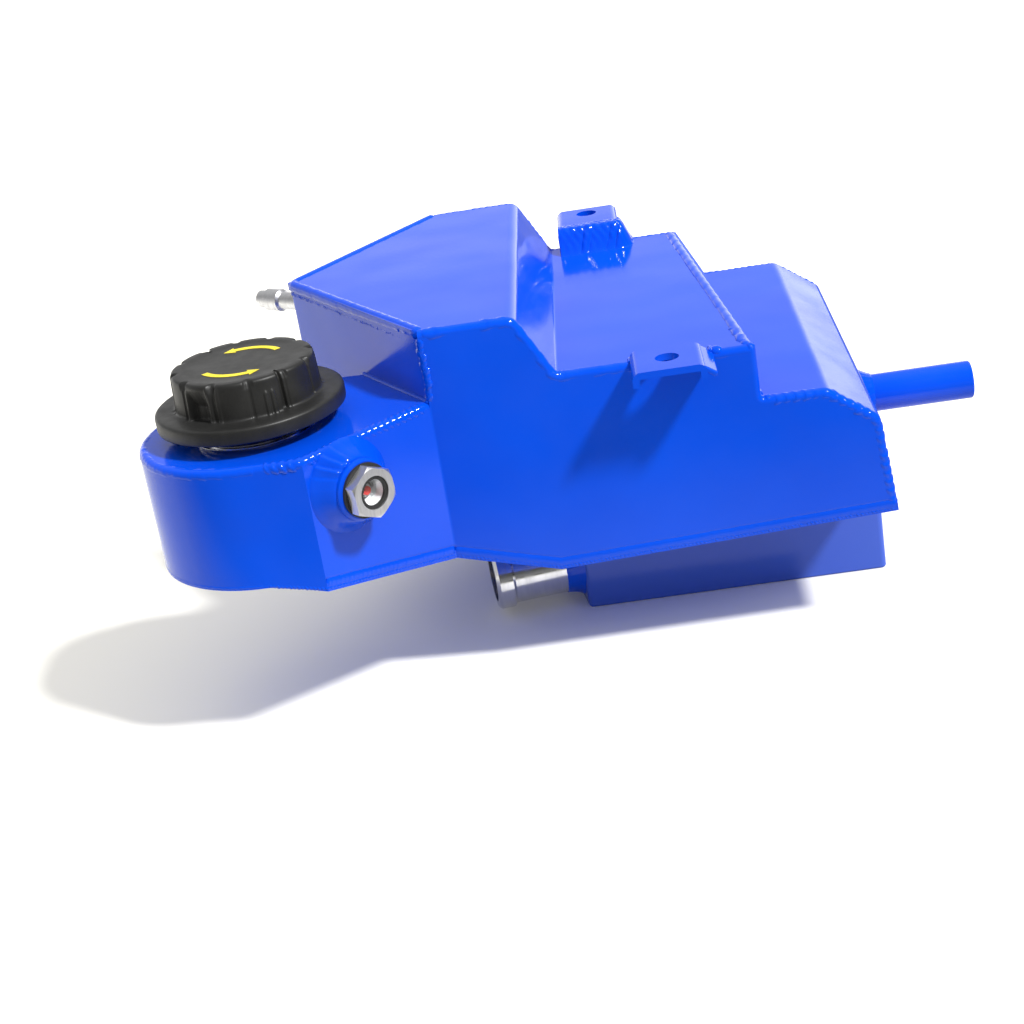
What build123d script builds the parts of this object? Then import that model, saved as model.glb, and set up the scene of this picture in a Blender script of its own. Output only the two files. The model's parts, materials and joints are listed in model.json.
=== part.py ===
from build123d import *
import math
import os

os.makedirs("parts", exist_ok=True)

# Aluminium sheet and its folds
sheet = 3.0
beyond = 300.0
fold_inside = 1.5
fold_outside = fold_inside + sheet
dressed_edge = 0.9
welded_corner = 2.2
running_gap = 0.15

# Tank outline in plan
tank_depth = 164.6
left_corner_x = -55.7
left_corner_y = 89.1
back_corner_x = -0.7
right_end_x = 160.8

# Tank levels and folds seen from the front
high_top_z = 137.3
high_top_end_x = 33.9
ramp_foot_x = 46.1
mid_top_z = 114.7
step_front_x = 116.3
step_back_x = 99.1
low_top_z = 94.7
low_top_end_x = 139.6
shoulder_x = 157.4
shoulder_z = 81.6
floor_low_x = 37.2
floor_low_z = 39.8
floor_right_z = 44.7
floor_left_x = -58.0
floor_left_z = 66.0

# Round pod that carries the filler
pod_x = -63.0
pod_y = 2.2
pod_radius = 42.1
pod_top_z = 110.9
pod_bend_x = -42.0
pod_front_y = pod_y - pod_radius
pod_back_y = pod_y + pod_radius

# Sump box under the tank
sump_left_x = 34.5
sump_front_y = 47.1
sump_back_y = 150.0
sump_end_slant = 10.0
sump_ledge = 4.0

# Filler neck
neck_bore = 36.0
neck_crest = 42.0
neck_collar = 49.0
neck_collar_height = 2.6
neck_height = 18.5
neck_top_z = pod_top_z + neck_height

# Screw cap shell
cap_flange = 68.0
cap_flange_clear = 5.5
cap_flange_height = 5.7
cap_grip = 50.6
cap_wall = 2.6
cap_thread_gap = 0.5
grip_lobes = 12
grip_groove_depth = 1.3
grip_groove_radius = 4.2

# Cap plug and relief valve
plug_radius = 17.3
plug_wall = 2.7
plug_reach = 16.8
plug_head_radius = 20.6
plug_head_clear = 0.4
plug_head_height = 2.9
plug_head_gap = 0.3
stud_radius = 4.0
barb_radius = 5.4
seal_section = 2.8
seal_below_neck = 8.9
vent_below_neck = 2.4
vent_radius = 1.4
vent_count = 4
seat_height = 2.0
seat_bore = 8.0
pad_height = 1.0
valve_radius = 11.0
valve_height = 1.6
spring_wire = 1.3
spring_radius = 8.2
spring_turns = 5

# Sight glass on the diagonal panel
sight_along = 40.7
sight_z = 95.0
bung_radius = 11.0
bung_out = 9.0
bung_in = 5.0
washer_height = 1.2
hex_across = 16.8
hex_height = 4.2
hex_turn = 35.0
hex_chamfer = 1.0
hex_chamfer_start = 0.2
sight_thread = 13.8
sight_bore = 12.4
sight_port = 6.4
lens_height = 1.2
glass_gasket_height = 1.0
lip_height = 0.5
lip_bore = 11.8
gasket_bore = 9.2
reflector_depth = 3.5
reflector_wall = 0.6
marker_radius = 1.6
slot_count = 3
slot_turn = 40.0
marker_height = 0.7

# Bracket tabs
tab_sheet = 2.5
tab_width = 26.0
tab_hole = 8.5
front_tab_x = 72.0
front_tab_reach = 19.0
front_tab_overlap = 5.2
front_tab_drop = 5.6
rear_tab_x = 50.0
rear_tab_rise = 9.3
rear_tab_overlap = 8.6
rear_tab_reach = 22.9
rear_hole_from_end = 8.6
front_hole_from_end = 12.6

# Locating peg, hose outlet and return spigot
peg_radius = 7.3
peg_y = 68.0
peg_z = 65.2
peg_end_x = 202.0
peg_relief_end_x = 163.5
peg_relief = 0.8
peg_chamfer = 0.6
outlet_radius = 12.0
outlet_wall = 2.0
outlet_bead = 1.3
outlet_y = 60.0
outlet_z = 16.2
outlet_length = 34.8
spigot_radius = 3.5
spigot_bore = 4.4
spigot_bead = 0.95
spigot_along = 10.0
spigot_below_top = 11.3
spigot_length = 27.0


def outline(points, radii):
    """Closed face through the points, each corner rounded by its own radius."""
    entries = []
    middles = []
    exits = []
    count = len(points)
    for i in range(count):
        here = Vector(*points[i])
        back = (Vector(*points[i - 1]) - here).normalized()
        ahead = (Vector(*points[(i + 1) % count]) - here).normalized()
        half = math.radians(back.get_angle(ahead)) / 2
        reach = radii[i] / math.tan(half)
        entries.append(here + back * reach)
        exits.append(here + ahead * reach)
        middles.append(here + (back + ahead).normalized() * (radii[i] / math.sin(half) - radii[i]))
    edges = []
    for i in range(count):
        edges.append(Edge.make_line(exits[i - 1], entries[i]))
        if radii[i] > 0:
            edges.append(Edge.make_three_point_arc(entries[i], middles[i], exits[i]))
    return Face(Wire(edges))


def offset_line(points, distance):
    """Points of the same bent line moved sideways, to the left of its run when positive."""
    moved = []
    last = len(points) - 1
    for i in range(last + 1):
        k = max(i, 1)
        j = min(i, last - 1)
        first_run = Vector(*points[k]) - Vector(*points[k - 1])
        second_run = Vector(*points[j + 1]) - Vector(*points[j])
        n1 = Vector(-first_run.Y, first_run.X).normalized()
        n2 = Vector(-second_run.Y, second_run.X).normalized()
        share = (n1 + n2) * (1 / (1 + n1.dot(n2)))
        moved.append((points[i][0] + share.X * distance, points[i][1] + share.Y * distance))
    return moved


def bend_radii(points, distance):
    """Radii of the given line and of its offset line at every fold."""
    outer = [0.0]
    inner = [0.0]
    for i in range(1, len(points) - 1):
        a = Vector(*points[i]) - Vector(*points[i - 1])
        b = Vector(*points[i + 1]) - Vector(*points[i])
        toward_offset = a.cross(b).Z * distance > 0
        outer.append(fold_outside if toward_offset else fold_inside)
        inner.append(fold_inside if toward_offset else fold_outside)
    return outer + [0.0], inner + [0.0]


def folded(points, distance):
    """Section of a folded sheet: the line of its outer face and its thickness to one side."""
    inner_points = offset_line(points, distance)
    outer, inner = bend_radii(points, distance)
    return outline(points + inner_points[::-1], outer + inner[::-1])


def standing(face, low, high):
    """Plan section raised from one level to another."""
    return extrude(Pos(0, 0, low) * face, amount=high - low, dir=(0, 0, 1))


def across(face, front, back):
    """Front section carried from front to back."""
    return extrude(Pos(0, front, 0) * (Plane.XZ * face), amount=back - front, dir=(0, 1, 0))


def turned(points, x, y):
    """Solid of revolution round an upright axis from radius and height pairs."""
    section = Plane.XZ * Polygon(*points, align=None)
    return Pos(x, y, 0) * revolve(section, Axis.Z)


def keep(shape, name):
    """Moves a finished piece to the reference point and writes it."""
    moved = Pos(-origin_x, -origin_y, 0) * shape
    solids = moved.solids()
    solids.sort(key=lambda piece: piece.volume)
    export_step(solids[-1], f"parts/{name}.step")


# Reference point under the middle of the sump floor
origin_x = (sump_left_x + right_end_x) / 2
origin_y = (sump_front_y + sump_back_y) / 2

# Levels and lines that follow from the sizes above
cap_flange_z = pod_top_z + cap_flange_clear
plug_head_z = neck_top_z + plug_head_clear
cap_ceiling_z = plug_head_z + plug_head_height + plug_head_gap
cap_top_z = cap_ceiling_z + cap_wall
plug_bottom_z = neck_top_z - plug_reach
seal_z = neck_top_z - seal_below_neck
spigot_z = high_top_z - spigot_below_top
rear_tab_front_y = tank_depth - rear_tab_overlap
rear_tab_back_y = tank_depth + rear_tab_reach

# Directions of the diagonal panel, the left wall and the back left wall
panel_run = Vector(pod_bend_x, pod_front_y, 0).normalized()
panel_out = Vector(-panel_run.Y, panel_run.X, 0)
back_left_run = Vector(back_corner_x - left_corner_x, tank_depth - left_corner_y, 0).normalized()
back_left_out = Vector(-back_left_run.Y, back_left_run.X, 0)
pod_back_x = left_corner_x * pod_back_y / left_corner_y

# Tank floor, folded twice and running under every wall
floor_line = [
    (-beyond, floor_left_z),
    (floor_left_x, floor_left_z),
    (floor_low_x, floor_low_z),
    (right_end_x, floor_right_z),
]
floor_top_line = offset_line(floor_line, sheet)
floor_outer, floor_inner = bend_radii(floor_line, sheet)
floor_strip = across(folded(floor_line, sheet), -beyond, tank_depth)
under_points = floor_top_line + [(right_end_x + beyond, -beyond), (-beyond, -beyond)]
below_floor_top = across(outline(under_points, floor_inner + [0, 0]), -beyond, beyond)
over_points = floor_line + [(right_end_x, beyond), (-beyond, beyond)]
above_floor_under = across(outline(over_points, floor_outer + [0, 0]), -beyond, beyond)

main_points = [
    (0, 0),
    (right_end_x, 0),
    (right_end_x, tank_depth),
    (back_corner_x, tank_depth),
    (left_corner_x, left_corner_y),
]
main_plan = Polygon(*main_points, align=None)
pod_points = [
    (pod_x, pod_front_y),
    (pod_bend_x, pod_front_y),
    (0, 0),
    (pod_back_x, pod_back_y),
    (pod_x, pod_back_y),
]
pod_corners = Polygon(*pod_points, align=None)
pod_plan = Pos(pod_x, pod_y) * Circle(pod_radius) + pod_corners

# Front plate with its bent-out sight panel
profile_points = [
    (-0.01, -20), (right_end_x + 2, -20), (right_end_x, floor_right_z), (shoulder_x, shoulder_z),
    (low_top_end_x, low_top_z), (step_front_x, low_top_z), (step_front_x, mid_top_z), (ramp_foot_x, mid_top_z),
    (high_top_end_x, high_top_z), (-0.01, high_top_z),
]
profile_radii = [0, 0, 0, fold_outside, fold_outside, fold_inside, dressed_edge, fold_inside, fold_outside, 0]
front_profile = across(outline(profile_points, profile_radii), -1, sheet + 1)
panel_zone = Pos(0.01, 0, 0) * Box(beyond, beyond, pod_top_z - sheet, align=(Align.MAX, Align.CENTER, Align.MIN))
front_line = [(pod_bend_x, pod_front_y), (0, 0), (right_end_x, 0)]
front_raw = standing(folded(front_line, sheet), 0, high_top_z)
front_sheet = front_raw & front_profile
panel_sheet = front_raw & panel_zone
front_plate = (front_sheet + panel_sheet) - below_floor_top
sight_plane = Plane(
    origin=panel_run * sight_along + Vector(0, 0, sight_z),
    x_dir=(-panel_run.X, -panel_run.Y, 0),
    z_dir=(panel_out.X, panel_out.Y, 0),
)
bung_hole = sight_plane * Pos(0, 0, -bung_in) * Cylinder(bung_radius + running_gap, bung_in * 2 + bung_out)
front_plate -= bung_hole


def top_edges(plate, face_y, left_x):
    """Edges of a plate's outer face above the tank floor and right of a place."""
    chosen = []
    for edge in plate.edges():
        middle = edge.center()
        on_face = abs(middle.Y - face_y) < 0.001 and edge.bounding_box().size.Y < 0.001
        if on_face and middle.Z > floor_right_z + sheet and middle.X > left_x:
            chosen.append(edge)
    return chosen


front_plate = fillet(top_edges(front_plate, 0, sheet), welded_corner)

# Back plate with the same outline but no panel
back_profile_points = list(profile_points)
back_profile_points[0] = (back_corner_x, -20)
back_profile_points[-1] = (back_corner_x, high_top_z)
back_profile_points[5] = (step_back_x, low_top_z)
back_profile_points[6] = (step_back_x, mid_top_z)
back_plate = across(outline(back_profile_points, profile_radii), tank_depth - sheet, tank_depth)
back_plate -= below_floor_top
back_plate = fillet(top_edges(back_plate, tank_depth, back_corner_x + sheet), welded_corner)

# Left wall, bent once at the far left corner and open to the pod below the pod's top
left_line = [(0, 0), (left_corner_x, left_corner_y), (back_corner_x, tank_depth)]
left_wall = standing(folded(left_line, -sheet), 0, high_top_z - sheet)
left_wall -= below_floor_top
left_wall -= front_plate
left_wall -= back_plate
mouth_align = (Align.CENTER, Align.MAX, Align.MIN)
pod_mouth = Pos(0, pod_back_y - sheet, 0) * Box(beyond, beyond, pod_top_z - sheet, align=mouth_align)
left_wall -= pod_mouth
spigot_root = Vector(left_corner_x, left_corner_y, spigot_z) + back_left_run * spigot_along
spigot_plane = Plane(origin=spigot_root, x_dir=(0, 0, 1), z_dir=(back_left_out.X, back_left_out.Y, 0))
left_wall -= spigot_plane * Cylinder(spigot_bore / 2, 4 * sheet)

# High top, ramp and middle top folded from one sheet, cut off along the slanting step
gap_align = (Align.CENTER, Align.MIN, Align.CENTER)
plates_gap = Pos(0, sheet, 0) * Box(3 * beyond, tank_depth - 2 * sheet, 3 * beyond, align=gap_align)
step_run = Vector(step_back_x - step_front_x, tank_depth, 0).normalized()
step_plan = [(-beyond, 0), (step_front_x, 0), (step_back_x, tank_depth), (-beyond, tank_depth)]
left_of_step = standing(Polygon(*step_plan, align=None), 0, beyond)
inner_step_plan = [(x - sheet / step_run.Y, y) for x, y in step_plan]
left_of_step_inside = standing(Polygon(*inner_step_plan, align=None), 0, beyond)
top_line = [(-beyond, high_top_z), (high_top_end_x, high_top_z), (ramp_foot_x, mid_top_z), (right_end_x, mid_top_z)]
top_sheet = across(folded(top_line, -sheet), 0, tank_depth) & standing(main_plan, 0, beyond)
top_sheet = (top_sheet & plates_gap) & left_of_step

# Step wall, low top, shoulder and right end folded from one sheet
right_line = [(0, low_top_z), (low_top_end_x, low_top_z), (shoulder_x, shoulder_z), (right_end_x, floor_right_z)]
right_sheet = across(folded(right_line, -sheet), 0, tank_depth) - left_of_step_inside
band_align = (Align.MIN, Align.MIN, Align.MIN)
step_band = Pos(0, 0, low_top_z - sheet) * Box(beyond, tank_depth, mid_top_z - low_top_z, align=band_align)
step_wall = (step_band & left_of_step) - left_of_step_inside
right_sheet = ((right_sheet + step_wall) & plates_gap) - below_floor_top

# Rolled wall of the pod
ring = Pos(pod_x, pod_y) * (Circle(pod_radius) - Circle(pod_radius - sheet))
left_half = Pos(pod_x, pod_y) * Rectangle(pod_radius, 2 * pod_radius, align=(Align.MAX, Align.CENTER))
front_run = Pos(pod_x, pod_front_y) * Rectangle(pod_bend_x - pod_x, sheet, align=(Align.MIN, Align.MIN))
back_run_length = pod_back_x - pod_x + 3 * sheet
back_run = Pos(pod_x, pod_back_y) * Rectangle(back_run_length, sheet, align=(Align.MIN, Align.MAX))
pod_wall = standing((ring & left_half) + front_run + back_run, 0, pod_top_z - sheet)
pod_wall = (pod_wall - below_floor_top) - front_plate
pod_wall -= standing(folded(left_line, -4 * sheet), 0, beyond)

# Pod top plate with the filler hole, butting on the left wall
pod_top = standing(pod_plan, pod_top_z - sheet, pod_top_z)
pod_top -= standing(folded(left_line, -4 * sheet), 0, beyond)
pod_top -= front_plate
pod_top -= Pos(pod_x, pod_y, pod_top_z) * Cylinder(neck_crest / 2 + running_gap, 4 * sheet)
rounded_rim = []
for edge in pod_top.edges():
    middle = edge.center()
    on_top = abs(middle.Z - pod_top_z) < 0.01
    off_hole = math.hypot(middle.X - pod_x, middle.Y - pod_y) > 1
    round_end = edge.geom_type == GeomType.CIRCLE and middle.X < pod_x
    front_side = middle.Y < pod_y - neck_crest / 2 and edge.length > neck_crest / 3
    if on_top and off_hole and (round_end or front_side):
        rounded_rim.append(edge)
pod_top = fillet(rounded_rim, welded_corner)

# Sump box: wrapped wall and flat floor
slant = math.radians(sump_end_slant)


def sump_end_x(y):
    """Place of the sump's slanting left end at a depth."""
    return sump_left_x - (y - origin_y) * math.tan(slant)


sump_points = [
    (sump_end_x(sump_front_y), sump_front_y),
    (right_end_x, sump_front_y),
    (right_end_x, sump_back_y),
    (sump_end_x(sump_back_y), sump_back_y),
]
sump_outer = outline(sump_points, [welded_corner] * 4)
sump_inner = offset(sump_outer, -sheet, kind=Kind.INTERSECTION)
sump_wall = standing(sump_outer, sheet, mid_top_z) - standing(sump_inner, 0, mid_top_z)
sump_wall -= above_floor_under
sump_floor = standing(sump_outer, 0, sheet)
sump_floor = fillet(sump_floor.faces().sort_by(Axis.Z)[0].edges(), dressed_edge)

# Tank floor cut to the plan, with its opening into the sump
bottom_plate = floor_strip & standing(main_plan + pod_plan, 0, beyond)
bottom_plate -= standing(offset(sump_inner, -sump_ledge, kind=Kind.INTERSECTION), 0, beyond)

# Hose outlet with a rolled bead, square to the sump's left end
outlet_out = Vector(-math.cos(slant), -math.sin(slant), 0)
outlet_plane = Plane(
    origin=(sump_end_x(outlet_y), outlet_y, outlet_z), x_dir=(0, 0, 1), z_dir=(outlet_out.X, outlet_out.Y, 0)
)
outlet_inner = outlet_radius - outlet_wall
bead_radius = outlet_radius + outlet_bead
outlet_section = [
    (outlet_inner, -30),
    (outlet_radius, -30),
    (outlet_radius, outlet_length - 7.5),
    (bead_radius, outlet_length - 6.5),
    (bead_radius, outlet_length - 1.2),
    (outlet_radius, outlet_length),
    (outlet_inner, outlet_length),
]
outlet_ring = revolve(Plane.XZ * Polygon(*outlet_section, align=None), Axis.Z)
outlet_tube = outlet_plane * outlet_ring
outlet_tube -= standing(sump_outer, 0, mid_top_z)
sump_wall -= outlet_plane * Cylinder(outlet_inner, 60)

# Small return spigot on the back left wall
spigot_end = spigot_length
spigot_section = [
    (spigot_bore / 2, -10),
    (spigot_radius, -10),
    (spigot_radius, spigot_end - 13),
    (spigot_radius + spigot_bead, spigot_end - 12),
    (spigot_radius + spigot_bead, spigot_end - 5),
    (spigot_radius, spigot_end - 4),
    (spigot_radius, spigot_end - 0.6),
    (spigot_radius - 0.6, spigot_end),
    (spigot_bore / 2, spigot_end),
]
return_spigot = spigot_plane * revolve(Plane.XZ * Polygon(*spigot_section, align=None), Axis.Z)
return_spigot -= spigot_plane * Pos(0, 0, -10) * Box(60, 60, 20)

# Solid locating peg on the right end, turned down at its root where the weld sits
end_lean = (right_end_x - shoulder_x) / (shoulder_z - floor_right_z)
peg_under = peg_z - 2 * peg_radius
peg_over = peg_z + 2 * peg_radius
end_wall_points = [
    (low_top_end_x, peg_under),
    (right_end_x - (peg_under - floor_right_z) * end_lean, peg_under),
    (right_end_x - (peg_over - floor_right_z) * end_lean, peg_over),
    (low_top_end_x, peg_over),
]


def peg_bar(radius, end_x):
    """Round bar from inside the tank to the given end."""
    bar = Cylinder(radius, end_x - low_top_end_x, align=(Align.CENTER, Align.CENTER, Align.MAX))
    return Pos(end_x, peg_y, peg_z) * Rot(0, 90, 0) * bar


peg = peg_bar(peg_radius, peg_end_x)
peg = chamfer(peg.faces().sort_by(Axis.X)[-1].edges(), peg_chamfer)
peg -= peg_bar(2 * peg_radius, peg_relief_end_x) - peg_bar(peg_radius - peg_relief, peg_end_x)
peg -= across(Polygon(*end_wall_points, align=None), 0, tank_depth)


# Bracket tabs: short channels with the side edges folded down
def channel(width, drop, length):
    points = [(0, -drop), (0, 0), (width, 0), (width, -drop)]
    inner_points = offset_line(points, -tab_sheet)
    radii = [0, tab_sheet + 0.5, tab_sheet + 0.5, 0]
    inner_radii = [0, 0.5, 0.5, 0]
    return across(outline(points + inner_points[::-1], radii + inner_radii[::-1]), 0, length)


front_tab_z = mid_top_z + tab_sheet
front_channel = channel(tab_width, front_tab_drop, front_tab_reach + front_tab_overlap)
front_bracket = Pos(front_tab_x, -front_tab_reach, front_tab_z) * front_channel
front_hole_place = Pos(front_tab_x + tab_width / 2, front_hole_from_end - front_tab_reach, front_tab_z)
front_bracket -= front_hole_place * Cylinder(tab_hole / 2, 20)
tank_block = Box(3 * tab_width, 40, 40, align=(Align.CENTER, Align.MIN, Align.MAX))
front_bracket -= Pos(front_tab_x, 0, mid_top_z) * tank_block
rear_tab_z = mid_top_z + rear_tab_rise
rear_channel = channel(tab_width, rear_tab_rise, rear_tab_back_y - rear_tab_front_y)
rear_bracket = Pos(rear_tab_x, rear_tab_front_y, rear_tab_z) * rear_channel
rear_wall = Box(tab_width - 2 * tab_sheet, tab_sheet, rear_tab_rise - tab_sheet, align=band_align)
rear_bracket += Pos(rear_tab_x + tab_sheet, rear_tab_front_y, mid_top_z) * rear_wall
rear_hole_place = Pos(rear_tab_x + tab_width / 2, rear_tab_back_y - rear_hole_from_end, rear_tab_z)
rear_bracket -= rear_hole_place * Cylinder(tab_hole / 2, 30)

# Filler neck welded on the pod
neck_r = neck_crest / 2
neck_points = [
    (neck_bore / 2, pod_top_z - sheet),
    (neck_r, pod_top_z - sheet),
    (neck_r, pod_top_z),
    (neck_collar / 2, pod_top_z),
    (neck_collar / 2, pod_top_z + neck_collar_height),
    (neck_r, pod_top_z + neck_collar_height),
    (neck_r, neck_top_z - 0.6),
    (neck_r - 0.6, neck_top_z),
    (neck_bore / 2 + 0.6, neck_top_z),
    (neck_bore / 2, neck_top_z - 0.6),
]
filler_neck = turned(neck_points, pod_x, pod_y)

# Cap shell: flange, lobed grip and a central stud that holds the plug
grip_r = cap_grip / 2
flange_r = cap_flange / 2
flange_top_z = cap_flange_z + cap_flange_height
shell_bore = neck_r + cap_thread_gap
shell_points = [
    (0, cap_top_z),
    (0, plug_head_z - 2.2),
    (barb_radius, plug_head_z - 2.2),
    (barb_radius, plug_head_z - 0.25),
    (stud_radius, plug_head_z - 0.25),
    (stud_radius, cap_ceiling_z),
    (shell_bore, cap_ceiling_z),
    (shell_bore, cap_flange_z),
    (shell_bore + cap_wall, cap_flange_z),
    (shell_bore + cap_wall, flange_top_z - cap_wall),
    (flange_r - cap_wall, flange_top_z - cap_wall),
    (flange_r - cap_wall, cap_flange_z),
    (flange_r, cap_flange_z),
    (flange_r, flange_top_z - 1.2),
    (flange_r - 0.4, flange_top_z - 0.4),
    (flange_r - 1.2, flange_top_z),
    (grip_r + 0.5, flange_top_z - 0.6),
    (grip_r, flange_top_z),
    (grip_r, cap_top_z - 1.4),
    (grip_r - 0.4, cap_top_z - 0.4),
    (grip_r - 1.4, cap_top_z),
]
cap_shell = turned(shell_points, pod_x, pod_y)
groove_far = grip_r + grip_groove_radius - grip_groove_depth
for lobe in range(grip_lobes):
    angle = math.radians((lobe + 0.5) * 360 / grip_lobes)
    groove = Cylinder(grip_groove_radius, 30, align=(Align.CENTER, Align.CENTER, Align.MIN))
    groove_x = pod_x + groove_far * math.cos(angle)
    groove_y = pod_y + groove_far * math.sin(angle)
    cap_shell -= Pos(groove_x, groove_y, flange_top_z + 1.0) * groove

# Cap plug that slides in the neck without turning, its seal and the relief valve inside it
plug_inner = plug_radius - plug_wall
plug_head_top_z = plug_head_z + plug_head_height
groove_r = plug_radius + 0.65 - seal_section
plug_points = [
    (stud_radius + 0.25, plug_head_z),
    (stud_radius + 0.25, plug_head_top_z),
    (plug_head_radius, plug_head_top_z),
    (plug_head_radius, plug_head_z),
    (plug_radius, plug_head_z),
    (plug_radius, seal_z + 1.7),
    (groove_r, seal_z + 1.7),
    (groove_r, seal_z - 1.7),
    (plug_radius, seal_z - 1.7),
    (plug_radius, plug_bottom_z),
    (plug_inner + 1.0, plug_bottom_z),
    (plug_inner + 1.0, plug_bottom_z + seat_height),
    (plug_inner, plug_bottom_z + seat_height),
    (plug_inner, seal_z - 2.6),
    (groove_r - 1.6, seal_z - 2.0),
    (groove_r - 1.6, seal_z + 2.0),
    (plug_inner, seal_z + 2.6),
    (plug_inner, plug_head_z),
]
cap_plug = turned(plug_points, pod_x, pod_y)
for vent in range(vent_count):
    vent_drill = Cylinder(vent_radius, 2 * plug_radius, align=(Align.CENTER, Align.CENTER, Align.MIN))
    vent_hole = Rot(0, 0, vent * 360 / vent_count) * Rot(0, 90, 0) * vent_drill
    cap_plug -= Pos(pod_x, pod_y, neck_top_z - vent_below_neck) * vent_hole
cap_seal = Pos(pod_x, pod_y, seal_z) * Torus(groove_r + 0.02 + seal_section / 2, seal_section / 2)

seat_top_z = plug_bottom_z + seat_height
seat_points = [
    (seat_bore, plug_bottom_z),
    (plug_inner + 1.0, plug_bottom_z),
    (plug_inner + 1.0, seat_top_z),
    (seat_bore + 1.2, seat_top_z),
    (seat_bore + 0.6, seat_top_z + 0.5),
    (seat_bore, seat_top_z + 0.5),
]
valve_seat = turned(seat_points, pod_x, pod_y)
pad_z = seat_top_z + 0.5
disc_z = pad_z + pad_height
valve_pad = turned([(0, pad_z), (valve_radius, pad_z), (valve_radius, disc_z), (0, disc_z)], pod_x, pod_y)
spring_foot_z = disc_z + valve_height
disc_points = [
    (0, disc_z),
    (valve_radius, disc_z),
    (valve_radius, spring_foot_z),
    (spring_radius - spring_wire - 0.2, spring_foot_z),
    (spring_radius - spring_wire - 0.4, spring_foot_z + 2.4),
    (0, spring_foot_z + 2.4),
]
valve_disc = turned(disc_points, pod_x, pod_y)
spring_length = plug_head_z - spring_foot_z - spring_wire
spring_path = Helix(spring_length / spring_turns, spring_length, spring_radius - spring_wire / 2)
spring_section = Plane(origin=spring_path @ 0, z_dir=spring_path % 0) * Circle(spring_wire / 2)
spring_coil = sweep(spring_section, path=spring_path, is_frenet=True)
valve_spring = Pos(pod_x, pod_y, spring_foot_z + spring_wire / 2) * spring_coil

# Sight glass: bung, washer, hexagon body, reflector, red marker, lens and gasket
sight_thread_r = sight_thread / 2
sight_bore_r = sight_bore / 2
bung_points = [
    (sight_thread_r + 0.1, -bung_in),
    (bung_radius, -bung_in),
    (bung_radius, bung_out - 0.8),
    (bung_radius - 0.8, bung_out),
    (sight_thread_r + 0.1, bung_out),
]
sight_bung = sight_plane * revolve(Plane.XZ * Polygon(*bung_points, align=None), Axis.Z)
washer_points = [
    (sight_thread_r + 0.1, bung_out),
    (bung_radius - 1.3, bung_out),
    (bung_radius - 1.3, bung_out + washer_height),
    (sight_thread_r + 0.1, bung_out + washer_height),
]
sight_washer = sight_plane * revolve(Plane.XZ * Polygon(*washer_points, align=None), Axis.Z)
hex_foot = bung_out + washer_height
hex_face = hex_foot + hex_height
upright = (Align.CENTER, Align.CENTER, Align.MIN)
hex_plan = Rot(0, 0, hex_turn) * RegularPolygon(hex_across / 2, 6, major_radius=False)
hexagon = Pos(0, 0, hex_foot) * extrude(hex_plan, hex_height)
hex_flat = hex_across / 2 + hex_chamfer_start
hex_corner = hex_flat + 2 * hex_chamfer
cone_points = [
    (0, 0),
    (hex_corner, 0),
    (hex_corner, hex_height - hex_chamfer),
    (hex_flat, hex_height),
    (0, hex_height),
]
hex_cone = Pos(0, 0, hex_foot) * revolve(Plane.XZ * Polygon(*cone_points, align=None), Axis.Z)
shank = Pos(0, 0, -bung_in) * Cylinder(sight_thread_r, hex_foot + bung_in, align=upright)
lip_z = hex_face - lip_height
gasket_z = lip_z - glass_gasket_height
lens_z = gasket_z - lens_height
reflector_z = lens_z - reflector_depth
bore_points = [
    (0, reflector_z),
    (sight_bore_r, reflector_z),
    (sight_bore_r, lip_z),
    (lip_bore / 2, lip_z),
    (lip_bore / 2, hex_face + 1),
    (0, hex_face + 1),
]
sight_body = (hexagon & hex_cone) + shank
sight_body -= revolve(Plane.XZ * Polygon(*bore_points, align=None), Axis.Z)
sight_body -= Pos(0, 0, -bung_in - 1) * Cylinder(sight_port / 2, 40, align=upright)
sight_body = sight_plane * sight_body
cup_r = sight_bore_r - 0.05
cup_points = [
    (0, reflector_z),
    (cup_r, reflector_z),
    (cup_r, lens_z),
    (cup_r - reflector_wall, lens_z),
    (cup_r - 1.6, reflector_z + 0.8),
    (0, reflector_z + 0.8),
]
reflector = revolve(Plane.XZ * Polygon(*cup_points, align=None), Axis.Z)
for slot in range(slot_count):
    side = slot_turn + slot * 360 / slot_count
    slot_arc = Pos(0, 0, reflector_z + 0.4) * Rot(0, 0, side) * (Cylinder(3.6, 2) - Cylinder(2.4, 2))
    wedge = Pos(0, 0, reflector_z + 0.4) * Rot(0, 0, side) * Pos(3, 0, 0) * Box(4, 3.6, 2)
    reflector -= slot_arc & wedge
sight_reflector = sight_plane * reflector
sight_marker = sight_plane * Pos(0, 0, reflector_z + 0.8) * Cylinder(marker_radius, marker_height, align=upright)
sight_lens = sight_plane * Pos(0, 0, lens_z) * Cylinder(cup_r, lens_height, align=upright)
gasket_points = [(gasket_bore / 2, gasket_z), (cup_r, gasket_z), (cup_r, lip_z), (gasket_bore / 2, lip_z)]
sight_gasket = sight_plane * revolve(Plane.XZ * Polygon(*gasket_points, align=None), Axis.Z)

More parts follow.
